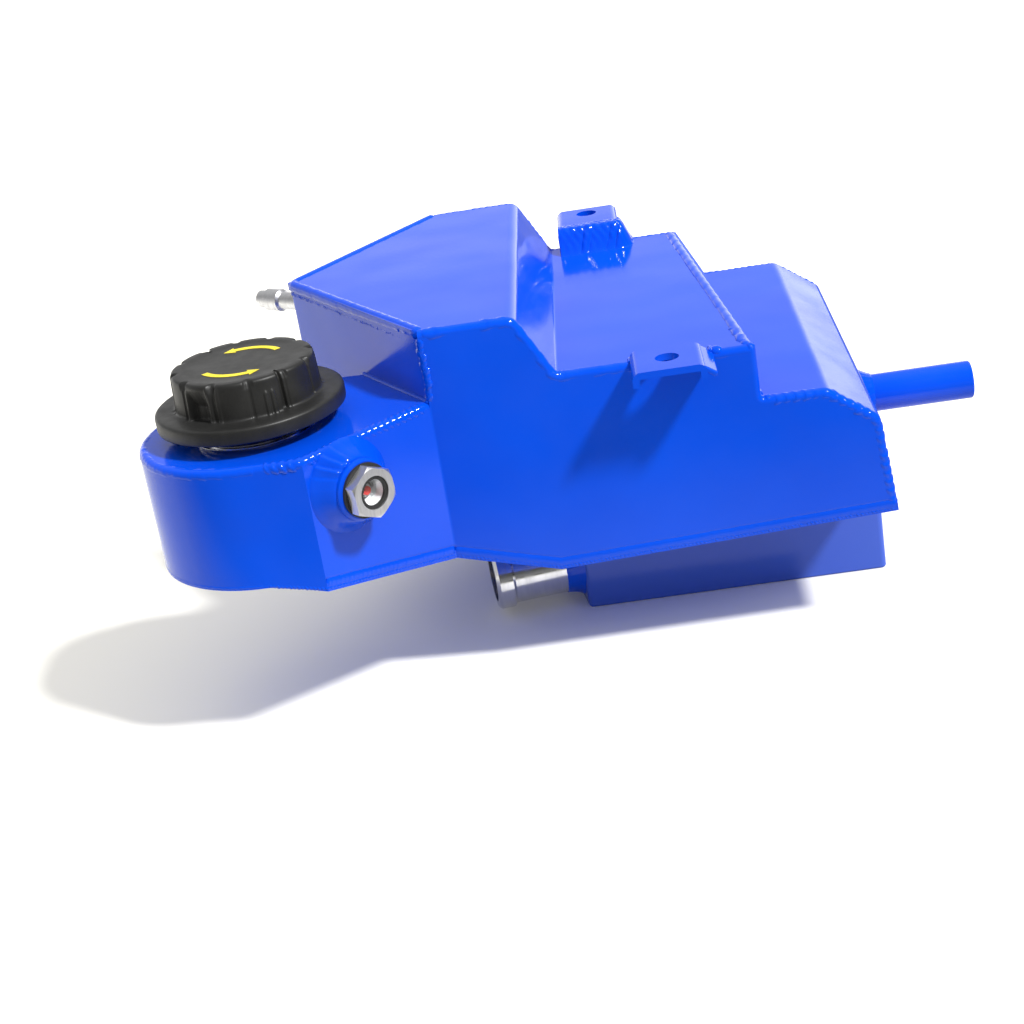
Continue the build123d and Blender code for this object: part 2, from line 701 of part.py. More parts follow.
keep(front_plate, "front_plate")
keep(back_plate, "back_plate")
keep(left_wall, "left_wall")
keep(top_sheet, "top_sheet")
keep(right_sheet, "right_sheet")
keep(bottom_plate, "bottom_plate")
keep(pod_wall, "pod_wall")
keep(pod_top, "pod_top")
keep(sump_wall, "sump_wall")
keep(sump_floor, "sump_floor")
keep(outlet_tube, "outlet_tube")
keep(return_spigot, "return_spigot")
keep(peg, "locating_peg")
keep(front_bracket, "front_bracket")
keep(rear_bracket, "rear_bracket")
keep(filler_neck, "filler_neck")
keep(cap_shell, "cap_shell")
keep(cap_plug, "cap_plug")
keep(cap_seal, "cap_seal")
keep(valve_seat, "valve_seat")
keep(valve_pad, "valve_pad")
keep(valve_disc, "valve_disc")
keep(valve_spring, "valve_spring")
keep(sight_bung, "sight_bung")
keep(sight_washer, "sight_washer")
keep(sight_body, "sight_body")
keep(sight_reflector, "sight_reflector")
keep(sight_marker, "sight_marker")
keep(sight_lens, "sight_lens")
keep(sight_gasket, "sight_gasket")
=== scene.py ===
import json
import math
import random

import bpy
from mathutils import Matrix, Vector


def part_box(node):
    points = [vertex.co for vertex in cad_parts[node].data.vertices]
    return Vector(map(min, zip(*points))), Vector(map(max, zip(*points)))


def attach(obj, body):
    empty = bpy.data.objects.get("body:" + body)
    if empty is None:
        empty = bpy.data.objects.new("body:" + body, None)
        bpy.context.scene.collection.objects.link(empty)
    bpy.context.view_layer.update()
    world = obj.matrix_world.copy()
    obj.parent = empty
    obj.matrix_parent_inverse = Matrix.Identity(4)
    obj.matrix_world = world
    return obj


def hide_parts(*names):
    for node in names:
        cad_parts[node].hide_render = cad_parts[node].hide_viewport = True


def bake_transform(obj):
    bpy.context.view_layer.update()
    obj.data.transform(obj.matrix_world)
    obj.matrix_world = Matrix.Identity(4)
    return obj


bl_info = {
    "name": "Coolant reservoir",
    "version": (1, 0, 0),
    "blender": (4, 5, 0),
    "location": "3D View > Sidebar > Reservoir",
    "description": "Dresses the welded coolant reservoir around its solid frame",
    "category": "Object",
}

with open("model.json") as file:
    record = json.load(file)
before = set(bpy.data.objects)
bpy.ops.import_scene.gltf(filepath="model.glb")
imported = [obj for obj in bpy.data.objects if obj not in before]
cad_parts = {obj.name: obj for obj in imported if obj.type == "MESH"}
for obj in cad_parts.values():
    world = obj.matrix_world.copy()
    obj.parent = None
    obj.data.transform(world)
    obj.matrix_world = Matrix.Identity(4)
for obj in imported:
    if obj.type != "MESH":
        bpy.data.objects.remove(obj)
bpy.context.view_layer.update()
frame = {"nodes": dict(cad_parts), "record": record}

MM = 0.001
# The tank's own corner, where the front plate meets the sight panel, seen from the reference point
CORNER_X = -97.65
CORNER_Y = -98.55

# Plan and levels of the tank in millimetres from that corner
LEFT_CORNER = (-55.7, 89.1)
BACK_CORNER_X = -0.7
RIGHT_END_X = 160.8
DEPTH = 164.6
SHEET = 3.0
HIGH_TOP_Z = 137.3
STEP_FRONT_X = 116.3
STEP_BACK_X = 99.1
STEP_LEAN = (STEP_BACK_X - STEP_FRONT_X) / DEPTH
STEP_TOP_Z = 114.7
STEP_FOOT_Z = 94.7
TOP_FOLDS = [(33.9, HIGH_TOP_Z), (46.1, STEP_TOP_Z)]
FRONT_TOP = [(0.0, HIGH_TOP_Z), *TOP_FOLDS, (STEP_FRONT_X, STEP_TOP_Z)]
BACK_TOP = [(BACK_CORNER_X, HIGH_TOP_Z), *TOP_FOLDS, (STEP_BACK_X, STEP_TOP_Z)]
LOW_TOP = [(139.6, STEP_FOOT_Z), (157.4, 81.6), (RIGHT_END_X, 46.5)]
FLOOR_LINE = [(-58.0, 66.0), (37.2, 39.8), (RIGHT_END_X, 44.7)]

# Pod with the sight panel, and the number of steps round the pod's outer half
POD = (-63.0, 2.2)
POD_RADIUS = 42.1
POD_TOP_Z = 110.9
POD_STEPS = 60
PANEL_END = (-42.0, -39.9)
PANEL_RUN = Vector(PANEL_END + (0.0,)).normalized()
PANEL_OUT = Vector((-PANEL_RUN.y, PANEL_RUN.x, 0.0))

# Fittings: where they stand and where they point
SIGHT_ALONG = 40.7
SIGHT_Z = 95.0
END_SLANT = math.radians(10.0)
OUTLET_OUT = Vector((-math.cos(END_SLANT), -math.sin(END_SLANT), 0.0))
OUTLET_ROOT = (41.3, 60.0, 16.2)
PEG_ROOT = (158.9, 68.0, 65.2)
SPIGOT_ROOT = (-49.81, 97.18, 126.0)
SPIGOT_OUT = Vector((-75.5, 55.0, 0.0)).normalized()
# Rear tab: left and right edge, front edge and level
REAR_TAB = (50.0, 76.0, 156.0, 124.0)
# Front tab: its right edge, front edge, and the depth of its side flange
FRONT_TAB_RIGHT_X = 98.0
FRONT_TAB_FRONT_Y = -18.9
FRONT_TAB_RUN = 23.4
# Welds beside the front tab: place, both ends, level and half width
TAB_WELDS = ((72.1, 0.8, 5.8, 114.5, 0.8), (100.6, 0.8, 5.8, 114.5, 0.9))
# Short extra runs of weld on the front plate's edge: place and half length
WELD_SPOTS = (
    (47.0, 1.3, 113.9, 1.6),
    (102.6, 1.2, 114.6, 2.2),
    (114.4, 1.2, 114.0, 1.6),
    (118.6, 1.3, 93.9, 1.8),
)

# Profiles of the welds round the fittings: radius and height over the surface
BUNG_WELD = [
    (17.2, -0.5), (16.7, 0.15), (16.0, 0.9), (15.0, 1.9), (14.1, 3.0), (13.2, 4.3), (12.3, 5.6),
    (11.5, 6.6), (11.05, 7.0), (10.7, 6.9),
]
PEG_WELD = [(10.4, -1.4), (9.8, 0.1), (9.0, 1.3), (8.3, 2.6), (7.75, 3.9), (7.42, 4.9), (7.1, 5.1)]
OUTLET_WELD = [
    (14.9, -0.5), (14.3, 0.3), (13.5, 1.3), (13.0, 2.8), (12.6, 4.8), (12.25, 6.7), (11.9, 6.9),
]
SPIGOT_WELD = [(6.4, -0.3), (5.9, 0.2), (5.0, 0.9), (4.2, 1.8), (3.65, 2.7), (3.4, 2.9)]

# Points round a weld bead, points on each ripple of a collar, a bead's rounded end by its height
BEAD_SIDES = 16
COLLAR_STEPS = 10
BEAD_END = 1.3

# Filler neck: radii, levels and height of the thread
NECK_BORE = 18.0
NECK_COLLAR = 24.5
NECK_ROOT = 19.85
NECK_FOOT_Z = 107.9
NECK_COLLAR_Z = 110.5
NECK_RIM_Z = 129.4
NECK_COLUMNS = 144
THREAD_HEIGHT = 1.1
THREAD_STEPS = 88

# Screw cap: radii, heights, the angle from notch to notch and the points round it
GRIP_RADIUS = 24.95
GRIP_MIDDLE = 25.3
FLANGE_RADIUS = 34.0
FLANGE_HEIGHT = 5.7
CAP_WALL = 2.6
LOBE = 30.0
CAP_COLUMNS = 720
# Turn arrows: starts in degrees, steps and step in degrees of the bow, inner and outer radius
ARROW_STARTS = (35.0, 215.0)
ARROW_STEPS = 18
ARROW_STEP = 4.0
ARROW_INNER = 13.4
ARROW_OUTER = 15.8

# Relief valve's spring: radius of its wire and its coil, turns, steps a turn, points round the wire
SPRING_WIRE = 0.65
SPRING_COIL = 7.55
SPRING_TURNS = 5
SPRING_STEPS = 40
SPRING_SIDES = 12

# Floor, main light and camera; places in metres, angles in degrees
FLOOR_REACH = 4.0
LIGHT_FROM = (0.55, -0.375, 0.747)
CAMERA_PLACE = (-0.02808, -0.76426, 0.34212)
CAMERA_TURN = (67.16405, 8.80952, 0.34937)
CAMERA_LENS = 70.231
CAMERA_SENSOR = 36.0
# Brightness of the room in gloss by height: stops and levels
ROOM_BANDS = ((0.0, 1.0), (0.27, 0.36), (0.5, 0.24))
# Sockets of a mix node by its data type: two inputs and the result
MIX_SOCKETS = {"RGBA": (6, 7, 2), "FLOAT": (2, 3, 0)}


def at(x, y, z):
    """Place in metres of a point given in millimetres from the tank's front left corner."""
    return Vector(((x + CORNER_X) * MM, (y + CORNER_Y) * MM, z * MM))


class ReservoirSizes(bpy.types.PropertyGroup):
    """Sizes of the details that the frame leaves plain"""

    seam_radius: bpy.props.FloatProperty(
        name="Seam radius", description="Rounding of a welded outer corner",
        default=2.3 * MM, min=0.0, unit="LENGTH")
    ripple_pitch: bpy.props.FloatProperty(
        name="Ripple pitch", description="Distance between two ripples of a weld",
        default=2.8 * MM, min=0.0005, unit="LENGTH")
    ripple_depth: bpy.props.FloatProperty(
        name="Ripple depth", description="Scale of every ripple's height",
        default=1.0, min=0.0, max=3.0)
    lobe_turn: bpy.props.FloatProperty(
        name="Lobe turn", description="Angle of the first notch of the cap's grip",
        default=math.radians(12.0), subtype="ANGLE")
    thread_pitch: bpy.props.FloatProperty(
        name="Thread pitch", description="Rise of the neck's thread in one turn",
        default=5.0 * MM, min=0.001, unit="LENGTH")


def colour(name, description, default):
    """Colour that can be set in the panel."""
    return bpy.props.FloatVectorProperty(
        name=name, description=description, subtype="COLOR", size=3, default=default, min=0.0, max=1.0)


class ReservoirColours(bpy.types.PropertyGroup):
    """Colours of the finishes"""

    coat: colour("Coat", "Blue powder coat", (0.001, 0.075, 0.72))
    coat_deep: colour("Coat, deeper", "Where the coat lies thicker", (0.001, 0.064, 0.64))
    # Painted reflection: the sump's greyer coat tone stands for the pale floor that the coat reflects.
    painted_floor_reflection: colour("Coat under the tank", "Greyer coat of the sump", (0.050, 0.115, 0.58))
    bright: colour("Bright metal", "Polished aluminium", (0.88, 0.88, 0.90))
    cap: colour("Cap", "Black moulded plastic", (0.014, 0.014, 0.0135))
    plug: colour("Plug", "Plain moulded plastic of the plug", (0.42, 0.41, 0.38))
    rubber: colour("Rubber", "Seals and gasket", (0.016, 0.016, 0.016))
    mark: colour("Mark", "Yellow of the turn arrows", (0.75, 0.60, 0.02))
    marker: colour("Marker", "Red level marker", (0.50, 0.035, 0.03))


class ReservoirStage(bpy.types.PropertyGroup):
    """Light and floor"""

    key: bpy.props.FloatProperty(
        name="Key light", description="Strength of the main light", default=3.7, min=0.0)
    key_angle: bpy.props.FloatProperty(
        name="Key softness", description="Width of the main light seen from the object",
        default=math.radians(6.0), subtype="ANGLE")
    sky: bpy.props.FloatProperty(
        name="Room light", description="Strength of the light from overhead", default=1.15, min=0.0)
    shine: bpy.props.FloatProperty(
        name="Room shine", description="Strength of the room as gloss shows it", default=1.95, min=0.0)
    floor: colour("Floor", "Floor as it is seen", (1.0, 0.98, 0.90))


# Node trees

def fresh_finish(name):
    """New material with its node tree and its main shader."""
    finish = bpy.data.materials.new(name)
    finish.use_nodes = True
    tree = finish.node_tree
    return finish, tree, tree.nodes["Principled BSDF"]


def feed(tree, value, socket):
    """Links another node's output to a socket, or sets a number or a colour on it."""
    if isinstance(value, bpy.types.NodeSocket):
        tree.links.new(value, socket)
    elif isinstance(value, float):
        socket.default_value = value
    else:
        socket.default_value = (*value, 1.0)


def feed_all(tree, node, values):
    """Feeds several inputs of one node, each by its name."""
    for name, value in values.items():
        feed(tree, value, node.inputs[name])


def add_noise(tree, scale, detail=2.0, rough=0.5, stretch=None):
    """Noise over the object's own coordinates; stretch scales them per axis first."""
    place = tree.nodes.new("ShaderNodeTexCoord")
    source = place.outputs["Object"]
    if stretch:
        mapping = tree.nodes.new("ShaderNodeMapping")
        mapping.inputs["Scale"].default_value = stretch
        tree.links.new(source, mapping.inputs["Vector"])
        source = mapping.outputs["Vector"]
    noise = tree.nodes.new("ShaderNodeTexNoise")
    noise.inputs["Scale"].default_value = scale
    noise.inputs["Detail"].default_value = detail
    noise.inputs["Roughness"].default_value = rough
    tree.links.new(source, noise.inputs["Vector"])
    return noise.outputs[0]


def add_range(tree, value, low, high, start=0.35, stop=0.65):
    """Maps a noise value onto a range."""
    node = tree.nodes.new("ShaderNodeMapRange")
    node.inputs["From Min"].default_value = start
    node.inputs["From Max"].default_value = stop
    node.inputs["To Min"].default_value = low
    node.inputs["To Max"].default_value = high
    tree.links.new(value, node.inputs["Value"])
    return node.outputs[0]


def add_blend(tree, value, first, second, kind="RGBA"):
    """Blends two colours, or two numbers with kind FLOAT, by a value."""
    node = tree.nodes.new("ShaderNodeMix")
    node.data_type = kind
    low, high, result = MIX_SOCKETS[kind]
    feed(tree, value, node.inputs[0])
    feed(tree, first, node.inputs[low])
    feed(tree, second, node.inputs[high])
    return node.outputs[result]


def add_product(tree, first, second):
    """Multiplies two values."""
    node = tree.nodes.new("ShaderNodeMath")
    node.operation = "MULTIPLY"
    feed(tree, first, node.inputs[0])
    feed(tree, second, node.inputs[1])
    return node.outputs[0]


def add_split(tree, kind):
    """Splits the object's own or generated coordinates into X, Y and Z."""
    place = tree.nodes.new("ShaderNodeTexCoord")
    split = tree.nodes.new("ShaderNodeSeparateXYZ")
    tree.links.new(place.outputs[kind], split.inputs[0])
    return split.outputs


def add_bump(tree, height, distance, under=None):
    """Bump of the given height in metres, laid over another one where given."""
    node = tree.nodes.new("ShaderNodeBump")
    feed_all(tree, node, {"Strength": 1.0, "Distance": distance, "Height": height})
    if under:
        tree.links.new(under, node.inputs["Normal"])
    return node.outputs["Normal"]


def coat_finish(colours, name="blue_powder_coat", painted_reflection_share=0.0):
    """Gloss powder coat: slow colour drift, orange peel and a little hand polish; a share from 0 to 1
    greys it toward a painted reflection of the pale floor.
    """
    finish, tree, shader = fresh_finish(name)
    # With a share above zero, both tones are greyed toward the painted reflection of the pale floor.
    tones = []
    for tone in (colours.coat, colours.coat_deep):
        tones.append(tuple(c + painted_reflection_share * (g - c) for c, g in zip(tone, colours.painted_floor_reflection)))
    drift = add_range(tree, add_noise(tree, 14.0, 3.0), 0.0, 1.0)
    wave = add_bump(tree, add_noise(tree, 22.0, 1.0), 0.0005)
    feed_all(tree, shader, {
        "Base Color": add_blend(tree, drift, *tones),
        "Roughness": add_range(tree, add_noise(tree, 60.0, 4.0), 0.09, 0.15),
        "Normal": add_bump(tree, add_noise(tree, 650.0, 2.0), 0.000012, wave),
        "Specular IOR Level": 0.34,
    })
    return finish


def bright_finish(colours, name, grain, roughness, stretch, metal=1.0):
    """Turned or polished aluminium with fine lines along one way."""
    finish, tree, shader = fresh_finish(name)
    lines = add_noise(tree, grain, 3.0, 0.6, stretch)
    darker = tuple(0.88 * c for c in colours.bright)
    feed_all(tree, shader, {
        "Base Color": add_blend(tree, add_range(tree, lines, 0.0, 1.0), colours.bright, darker),
        "Roughness": add_range(tree, lines, *roughness),
        "Normal": add_bump(tree, lines, 0.00002),
        "Metallic": metal,
    })
    return finish


def moulded_finish(colour, name, roughness, grain=0.00003):
    """Moulded plastic or rubber with a fine matt grain."""
    finish, tree, shader = fresh_finish(name)
    drift = add_range(tree, add_noise(tree, 90.0, 3.0), 0.0, 1.0)
    lighter = tuple(min(1.0, 1.25 * c + 0.004) for c in colour)
    feed_all(tree, shader, {
        "Base Color": add_blend(tree, drift, colour, lighter),
        "Roughness": add_range(tree, add_noise(tree, 240.0, 3.0), *roughness),
        "Normal": add_bump(tree, add_noise(tree, 1800.0, 2.0), grain),
    })
    return finish


def glass_finish():
    """Clear lens of the sight glass: faint wipe marks in its gloss, and no shadow."""
    finish, tree, shader = fresh_finish("clear_lens")
    feed_all(tree, shader, {
        "Base Color": (0.96, 0.98, 0.98),
        "Transmission Weight": 1.0,
        "IOR": 1.30,
        "Roughness": add_range(tree, add_noise(tree, 300.0, 2.0), 0.0, 0.05),
    })
    path = tree.nodes.new("ShaderNodeLightPath")
    clear = tree.nodes.new("ShaderNodeBsdfTransparent")
    mixed = tree.nodes.new("ShaderNodeMixShader")
    tree.links.new(path.outputs["Is Shadow Ray"], mixed.inputs[0])
    tree.links.new(shader.outputs[0], mixed.inputs[1])
    tree.links.new(clear.outputs[0], mixed.inputs[2])
    tree.links.new(mixed.outputs[0], tree.nodes["Material Output"].inputs["Surface"])
    return finish


def floor_finish(stage):
    """Pale floor: it lights the object less than it shows, and gloss shows it dim ahead and right."""
    finish, tree, shader = fresh_finish("studio_floor")
    place = add_split(tree, "Object")
    behind = add_range(tree, place["Y"], 0.0, 1.0, -0.300, -0.140)
    left = add_range(tree, place["X"], 1.0, 0.1, 0.09, 0.16)
    dim, near, dull = (tuple(share * c for c in stage.floor) for share in (0.06, 0.8, 0.62))
    path = tree.nodes.new("ShaderNodeLightPath")
    reflected = add_blend(tree, add_product(tree, behind, left), dim, near)
    bounced = add_blend(tree, path.outputs["Is Glossy Ray"], dull, reflected)
    feed_all(tree, shader, {
        "Base Color": add_blend(tree, path.outputs["Is Camera Ray"], bounced, stage.floor),
        "Roughness": 0.9,
        "Specular IOR Level": 0.0,
    })
    return finish


def dress(node, finish):
    """Gives a frame piece its finish in every slot."""
    piece = frame["nodes"][node]
    for slot in piece.material_slots:
        slot.material = finish


def ride_as(piece, body, slot, *nodes):
    """Rides a new piece on its body and hides the frame pieces that it stands for; the slot argument
    is not used.
    """
    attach(piece, body)
    if nodes:
        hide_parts(*nodes)
    return piece


def mesh_piece(name, points, faces, finish, smooth=True):
    """New object from points in metres and faces."""
    mesh = bpy.data.meshes.new(name)
    mesh.from_pydata([tuple(p) for p in points], [], faces)
    mesh.validate()
    mesh.polygons.foreach_set("use_smooth", [smooth] * len(mesh.polygons))
    mesh.materials.append(finish)
    piece = bpy.data.objects.new(name, mesh)
    bpy.context.scene.collection.objects.link(piece)
    return piece


# Welds

def eased(points, radius):
    """Bent line with a small curve in place of each corner."""
    line = [Vector(points[0])]
    for i in range(1, len(points) - 1):
        here = Vector(points[i])
        back = Vector(points[i - 1]) - here
        ahead = Vector(points[i + 1]) - here
        reach = min(radius, back.length / 2, ahead.length / 2)
        first = here + back.normalized() * reach
        last = here + ahead.normalized() * reach
        for step in range(6):
            t = step / 5
            line.append(first * (1 - t) ** 2 + here * 2 * t * (1 - t) + last * t * t)
    line.append(Vector(points[-1]))
    return line


def spaced(points, step):
    """Points set at an even step along a line."""
    lengths = [0.0]
    for i in range(1, len(points)):
        lengths.append(lengths[-1] + (points[i] - points[i - 1]).length)
    count = max(2, int(round(lengths[-1] / step)))
    even = []
    j = 0
    for i in range(count + 1):
        want = lengths[-1] * i / count
        while j < len(lengths) - 2 and lengths[j + 1] < want:
            j += 1
        span = lengths[j + 1] - lengths[j]
        t = (want - lengths[j]) / span if span > 0 else 0.0
        even.append(points[j].lerp(points[j + 1], t))
    return even, lengths[-1]


def ripple(phase):
    """Height of a weld ripple over one pitch: a quick rise and a long fall."""
    part = phase - math.floor(phase)
    if part < 0.22:
        return math.sin(part / 0.22 * math.pi / 2)
    return (1 - (part - 0.22) / 0.78) ** 0.8


def ring_faces(rings, around, ends=True, loop=False, flip=False):
    """Faces between rings of points: ends closes both, loop joins them, flip turns the faces over."""
    faces = []
    for j in range(rings if loop else rings - 1):
        a, b = j * around, (j + 1) % rings * around
        for k in range(around):
            n = (k + 1) % around
            faces.append((a + k, b + k, b + n, a + n) if flip else (a + k, a + n, b + n, b + k))
    if ends:
        first = tuple(range(around))
        last = tuple((rings - 1) * around + k for k in range(around))
        faces += [first, last[::-1]] if flip else [first[::-1], last]
    return faces


def turned_piece(name, rows, centre, finish, **joins):
    """New piece from rows of radius and level pairs, set evenly round an upright axis."""
    points = []
    for row in rows:
        for i, (radius, z) in enumerate(row):
            a = 2 * math.pi * i / len(row)
            x = centre.x + radius * MM * math.cos(a)
            points.append((x, centre.y + radius * MM * math.sin(a), z * MM))
    faces = ring_faces(len(rows), len(rows[0]), **joins)
    return mesh_piece(name, points, faces, bpy.data.materials[finish])


def coated_piece(name, points, faces):
    """New piece of the tank in the blue coat."""
    piece = mesh_piece(name, points, faces, bpy.data.materials["blue_powder_coat"])
    return ride_as(piece, "tank", "blue_coat")


def weld(name, line, up, width, height, sink=0.0, rib=0.2, pitch=1.0, seed=1, bow=0.55, sway=0.04,
         vary=0.35):
    """Weld bead along a line, in millimetres: an oval tube, sunk in the metal, with ripples across."""
    sizes = bpy.context.scene.reservoir_sizes
    rng = random.Random(seed)
    step = sizes.ripple_pitch * pitch
    path, length = spaced(line, min(step / 8, 0.6 * MM))
    last = len(path) - 1
    ripples = max(1, int(round(length / step)))
    swell = [1 + rng.uniform(-vary, vary) for _ in range(ripples + 3)]
    drift = [rng.uniform(-1, 1) for _ in range(ripples + 3)]
    points = []
    for i, here in enumerate(path):
        tangent = (path[min(i + 1, last)] - path[max(i - 1, 0)]).normalized()
        lift = up(here) if callable(up) else Vector(up).normalized()
        side = tangent.cross(lift).normalized()
        lift = side.cross(tangent).normalized()
        along = i / last * ripples
        centre = here - lift * (sink * MM)
        from_end = min(i, last - i) * length / last / (BEAD_END * height * MM)
        taper = math.sqrt(max(0.02, 1 - max(0.0, 1 - from_end) ** 2))
        for k in range(BEAD_SIDES):
            angle = 2 * math.pi * k / BEAD_SIDES
            across, rise = math.sin(angle), math.cos(angle)
            phase = along + bow * across * across
            cell = min(ripples + 2, max(0, int(phase)))
            grow = rib * sizes.ripple_depth * (swell[cell] * ripple(phase) - 0.5)
            shift = side * (width * sway * MM * drift[cell])
            wide, tall = (width + grow) * taper, (height + grow) * taper
            points.append(centre + shift + (side * across * wide + lift * rise * tall) * MM)
    return coated_piece(name, points, ring_faces(len(path), BEAD_SIDES))


def collar(name, centre, axis, profile, ripples, rib, seed, strong=None, narrow=None):
    """Weld round a fitting: a sloping collar of radius and height pairs, with ripples that fan out."""
    sizes = bpy.context.scene.reservoir_sizes
    rng = random.Random(seed)
    axis = axis.normalized()
    first = Vector((0, 0, 1)) if abs(axis.z) < 0.9 else Vector((1, 0, 0))
    second = axis.cross(first).normalized()
    swell = [1 + rng.uniform(-0.4, 0.4) for _ in range(ripples + 2)]
    columns = ripples * COLLAR_STEPS
    last = len(profile) - 1
    slim = profile[-1][0]
    points = []
    for j, (radius, height) in enumerate(profile):
        part = j / last
        for i in range(columns):
            a = 2 * math.pi * i / columns
            out = first * math.cos(a) + second * math.sin(a)
            wide = radius
            if narrow:
                way, share = narrow
                wide = slim + (radius - slim) * (1 - (1 - share) * out.dot(way) ** 2)
            phase = i / COLLAR_STEPS + 0.9 * part * part
            force = strong(out) if strong else 1.0
            bump = rib * sizes.ripple_depth * force * swell[int(phase) % ripples] * ripple(phase)
            bump *= math.sin(math.pi * part) ** 0.6 if 0 < j < last else 0.0
            outward = out * ((wide + 0.7 * bump) * MM)
            points.append(centre + outward + axis * ((height + 0.7 * bump) * MM))
    return coated_piece(name, points, ring_faces(len(profile), columns, ends=False))


def edge_line(profile, y, inward, radius):
    """Line just inside a welded outer corner that follows a profile of x and z at one y."""
    moved = []
    last = len(profile) - 1
    for i, (x, z) in enumerate(profile):
        a = profile[max(i, 1) - 1]
        b = profile[max(i, 1)]
        c = profile[min(i, last - 1)]
        d = profile[min(i, last - 1) + 1]
        n1 = Vector((-(b[1] - a[1]), b[0] - a[0])).normalized()
        n2 = Vector((-(d[1] - c[1]), d[0] - c[0])).normalized()
        share = (n1 + n2) / (1 + n1.dot(n2))
        moved.append(at(x - share.x * radius, y + inward * radius, z - share.y * radius))
    return eased(moved, 3 * MM)


def step_line(offset, ends, z):
    """Line along the step's slanting edge, offset in x, between two depths."""
    return [at(STEP_FRONT_X + offset + STEP_LEAN * y, y, z) for y in ends]


def pod_arc(radius, start, way):
    """Points round the pod's outer half, from a start angle in degrees, way 1 or -1 round."""
    points = []
    for i in range(POD_STEPS + 1):
        a = math.radians(start + way * 3 * i)
        points.append((POD[0] + radius * math.cos(a), POD[1] + radius * math.sin(a)))
    return points


def from_pod(place):
    """Level run in metres from the pod's axis to a place."""
    middle = at(*POD, 0)
    return Vector((place.x - middle.x, place.y - middle.y, 0.0))


def floor_z(x):
    """Level of the folded floor's underside at a place along the tank."""
    line = [(-200.0, FLOOR_LINE[0][1])] + FLOOR_LINE
    for (xa, za), (xb, zb) in zip(line, line[1:]):
        if x <= xb:
            return za + (zb - za) * (x - xa) / (xb - xa)
    return FLOOR_LINE[-1][1]


def floor_outline(inset):
    """Plan of the floor's edge from the pod's back round the front to the right end."""
    plan = [(-29.0, POD[1] + POD_RADIUS - inset)] + pod_arc(POD_RADIUS - inset, 90, 1)
    plan.append((PANEL_END[0] - 0.4 * inset, PANEL_END[1] + inset))
    for i in range(1, 10):
        t = 1 - i / 10
        x, y = PANEL_END[0] * t, PANEL_END[1] * t
        plan.append((x - PANEL_OUT.x * inset, y - PANEL_OUT.y * inset))
    plan.append((-0.3 * inset, inset))
    plan += [(x, inset) for x in (10, 20, 30, 37.2, 44, 60, 100, 140)]
    return plan + [(RIGHT_END_X - inset, inset)]


class RESERVOIR_OT_frame_finishes(bpy.types.Operator):
    """Gives every piece of the frame its finish"""

    bl_idname = "reservoir.frame_finishes"
    bl_label = "Finishes"

    def execute(self, context):
        colours = context.scene.reservoir_colours
        coat = coat_finish(colours)
        turned = bright_finish(colours, "polished_tube", 420.0, (0.10, 0.24), (1.0, 0.08, 0.08))
        facing = bright_finish(colours, "satin_hexagon", 900.0, (0.34, 0.46), (1.0, 1.0, 0.2))
        cup = bright_finish(colours, "bright_cup", 700.0, (0.30, 0.42), (1.0, 1.0, 1.0), 0.4)
        wire = bright_finish(colours, "drawn_wire", 900.0, (0.25, 0.38), (1.0, 1.0, 0.3))
        cap = moulded_finish(colours.cap, "cap_plastic", (0.42, 0.48))
        plug = moulded_finish(colours.plug, "plug_plastic", (0.40, 0.52))
        rubber = moulded_finish(colours.rubber, "seal_rubber", (0.55, 0.70))
        marker = moulded_finish(colours.marker, "marker_plastic", (0.30, 0.42), 0.00001)
        moulded_finish(colours.mark, "mark_print", (0.45, 0.55), 0.00001)
        glass = glass_finish()
        finishes = {
            "blue_coat": coat, "bare_aluminium": turned, "cap_black": cap, "plug_plastic": plug,
            "seal_rubber": rubber, "spring_steel": wire, "reflector_metal": cup,
            "marker_red": marker, "lens_glass": glass,
        }
        for part in frame["record"]["subparts"]:
            dress(part["node"], finishes[part["material_slot"]])
        dress("sight_body", facing)
        dress("return_spigot", facing)
        # The sump's coat is greyed fully toward the painted reflection of the pale floor.
        painted_reflection_coat = coat_finish(colours, "blue_powder_coat_sump", 1.0)
        dress("sump_wall", painted_reflection_coat)
        dress("sump_floor", painted_reflection_coat)
        return {"FINISHED"}


